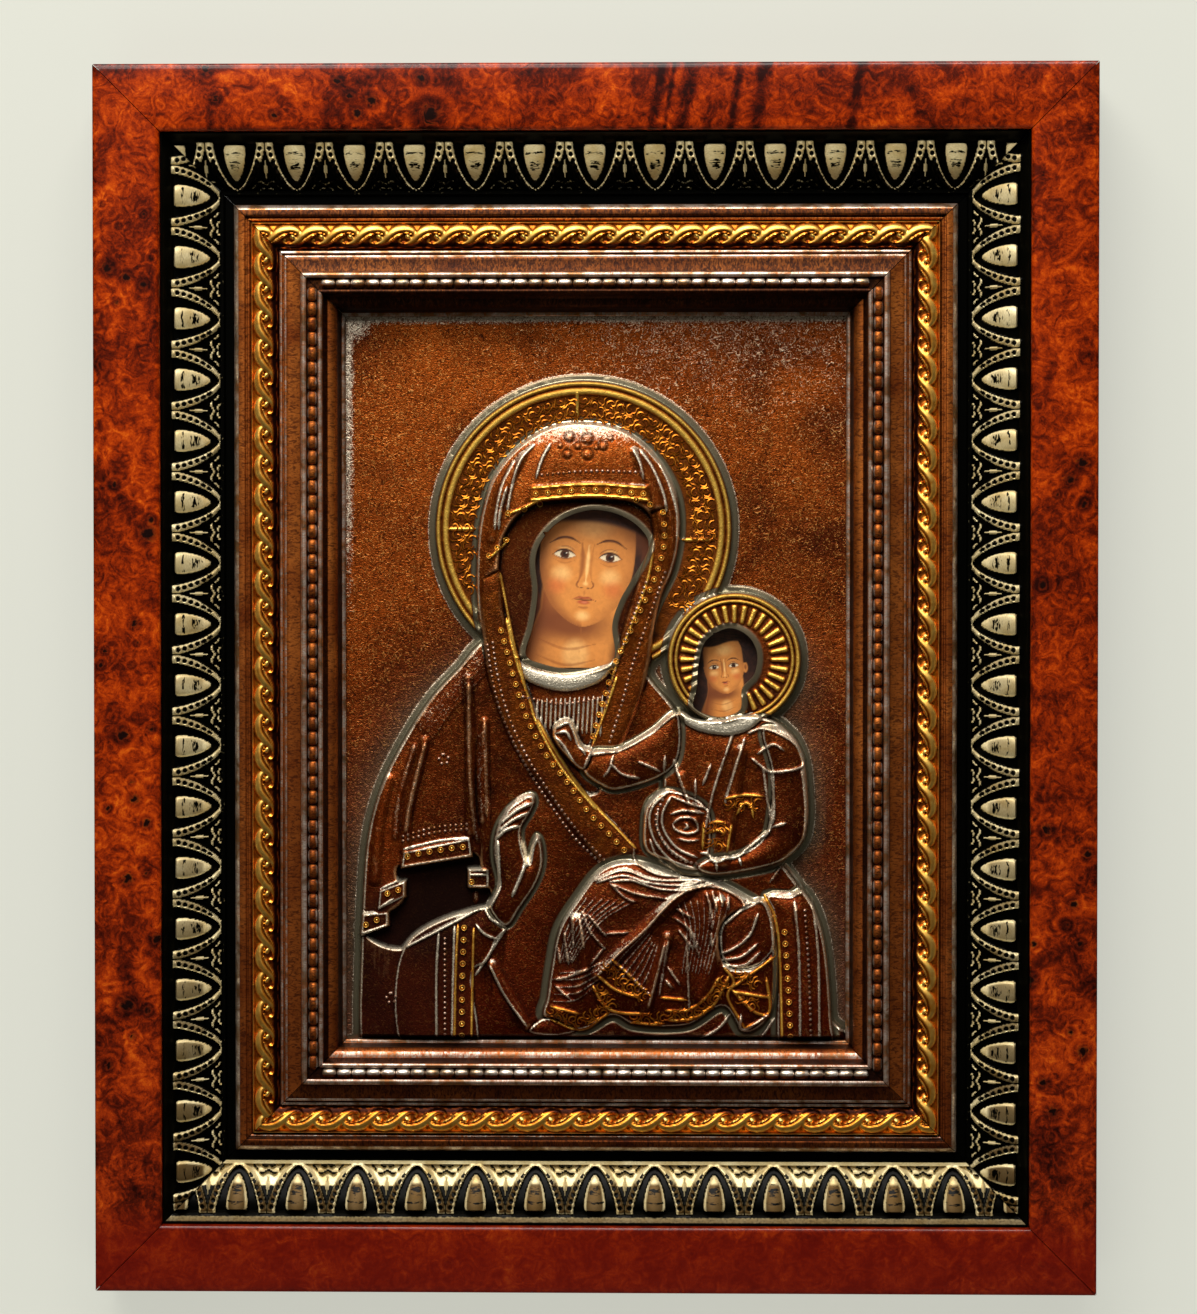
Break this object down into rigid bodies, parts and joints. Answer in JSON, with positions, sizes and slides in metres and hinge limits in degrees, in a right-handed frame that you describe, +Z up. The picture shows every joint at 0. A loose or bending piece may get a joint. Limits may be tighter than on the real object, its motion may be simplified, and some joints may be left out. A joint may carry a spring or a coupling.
{
  "type": "framed embossed icon panel",
  "caption": "Wall icon: a painted mother and child under an embossed metal cover, set in a stepped frame of burl, egg-and-dart and metal-clad rails.",
  "frame": {"origin": "middle of the panel's flat back, where it lies on the wall", "axes": "+X to the viewer's right, +Z up, -Y towards the viewer, out of the wall"},
  "size_m": [0.412, 0.038, 0.505],
  "materials": {
    "burl_veneer": "glossy varnished reddish burl veneer",
    "black_silver_lacquer": "black lacquer with rubbed champagne-silver leaf on the raised ornament",
    "copper_sheet": "toned copper sheet with gilded rope and silvery ridges",
    "embossed_cover": "embossed sheet with dark brown patina, gilded halos and polished silvery ridges",
    "painted_wood": "painted faces on a gessoed board, plain wood behind"
  },
  "bodies": {
    "root": {"burl_rail_top": "burl_veneer", "burl_rail_bottom": "burl_veneer", "burl_rail_left": "burl_veneer", "burl_rail_right": "burl_veneer", "egg_moulding_top": "black_silver_lacquer", "egg_moulding_bottom": "black_silver_lacquer", "egg_moulding_left": "black_silver_lacquer", "egg_moulding_right": "black_silver_lacquer", "metal_rail_top": "copper_sheet", "metal_rail_bottom": "copper_sheet", "metal_rail_left": "copper_sheet", "metal_rail_right": "copper_sheet", "embossed_cover": "embossed_cover", "painted_board": "painted_wood"}
  },
  "joints": []
}
